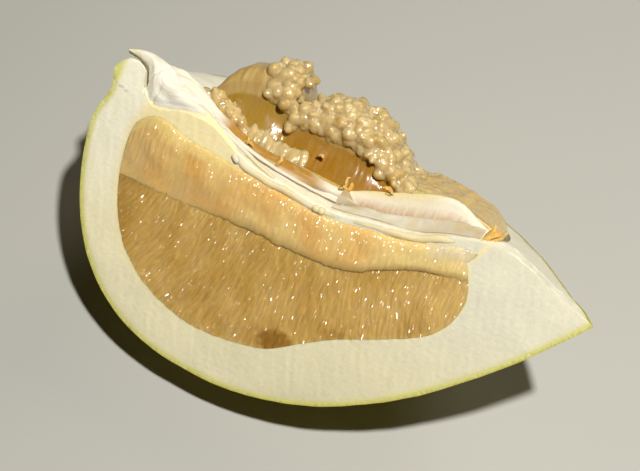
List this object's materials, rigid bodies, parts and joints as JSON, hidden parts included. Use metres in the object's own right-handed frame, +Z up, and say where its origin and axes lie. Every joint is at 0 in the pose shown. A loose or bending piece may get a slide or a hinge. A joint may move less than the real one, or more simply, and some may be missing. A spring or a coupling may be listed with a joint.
{
  "type": "pomelo wedge",
  "caption": "Quarter wedge of a pomelo lying on its rind, with cut flesh, a skin-covered segment, a torn segment of loose juice sacs, thick white pith and a thin green rind.",
  "frame": {"origin": "on the surface that the wedge lies on, under the middle of its bounding box", "axes": "+X along the fruit's axis, from the blossom end to the stem end, +Z up, with the sliced cut facing -Y and up and the torn one facing +Y and up"},
  "size_m": [0.1842, 0.113, 0.0864],
  "materials": {
    "zest": "waxy, finely pitted yellow-green rind",
    "pith": "matte, soft, spongy and slightly fibrous",
    "cut_flesh": "wet, translucent, in fine upright streaks",
    "segment_skin": "moist, translucent skin over orange pulp",
    "juice_sacs": "moist, translucent, in separate beads"
  },
  "bodies": {
    "root": {"zest": "zest", "pith": "pith", "front_segment": "cut_flesh", "middle_segment": "segment_skin", "back_segment": "juice_sacs"}
  },
  "joints": []
}
